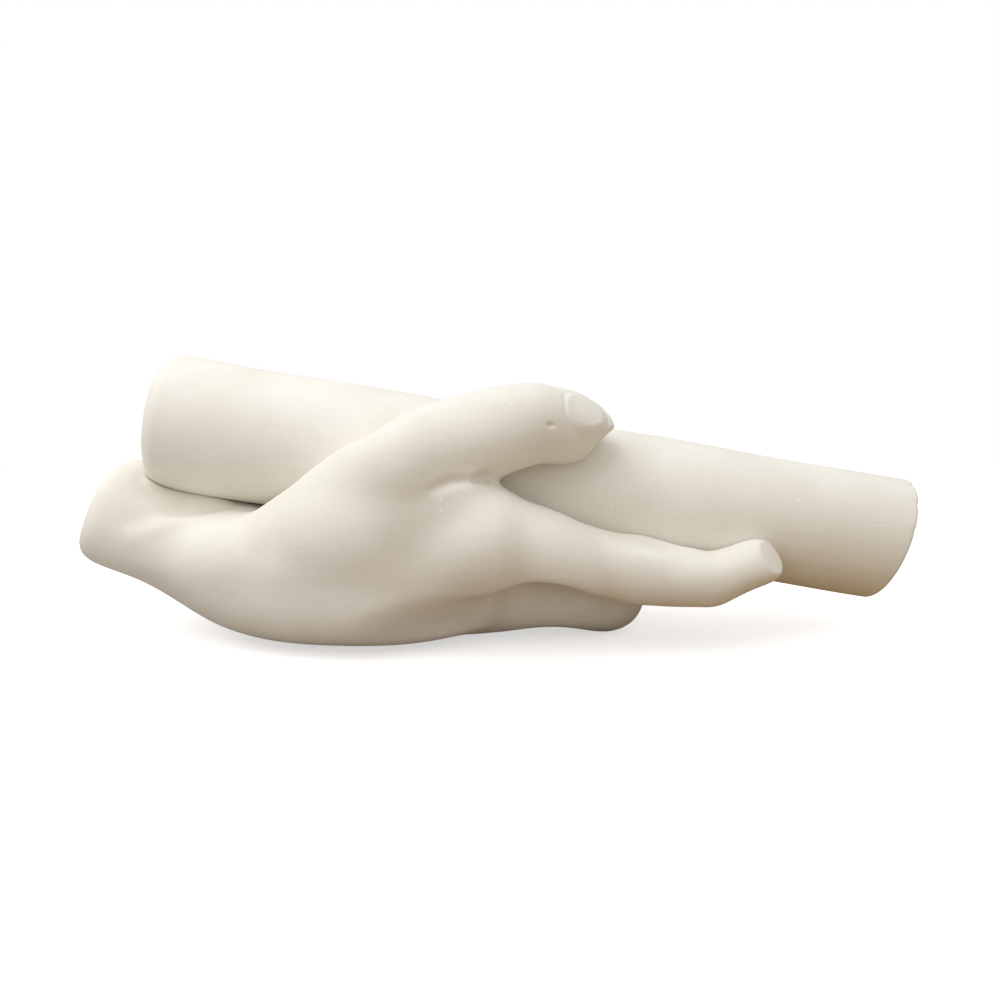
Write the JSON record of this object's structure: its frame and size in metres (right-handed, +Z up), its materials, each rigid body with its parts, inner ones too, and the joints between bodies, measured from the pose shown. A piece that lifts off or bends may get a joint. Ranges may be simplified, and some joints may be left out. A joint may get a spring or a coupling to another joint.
{
  "type": "hand sculpture",
  "caption": "Free-standing unglazed white ceramic hand, palm up, its fingers closed round a thick tapered rod that lies lengthwise.",
  "frame": {"origin": "bottom centre of the overall box: on the surface that the foot rests on, under the middle of the whole part", "axes": "+Z up, +X from the wrist towards the fingertips along the rod, +Y away from the thumb side"},
  "size_m": [0.216, 0.0845, 0.0735],
  "materials": {
    "bisque_ceramic": "matte, unglazed, cream white"
  },
  "bodies": {
    "root": {"palm_and_wrist": "bisque_ceramic", "thumb": "bisque_ceramic", "index_finger": "bisque_ceramic", "middle_finger": "bisque_ceramic", "ring_finger": "bisque_ceramic", "little_finger": "bisque_ceramic", "rod_tube": "bisque_ceramic", "rod_left_disc": "bisque_ceramic", "rod_right_disc": "bisque_ceramic"}
  },
  "joints": []
}
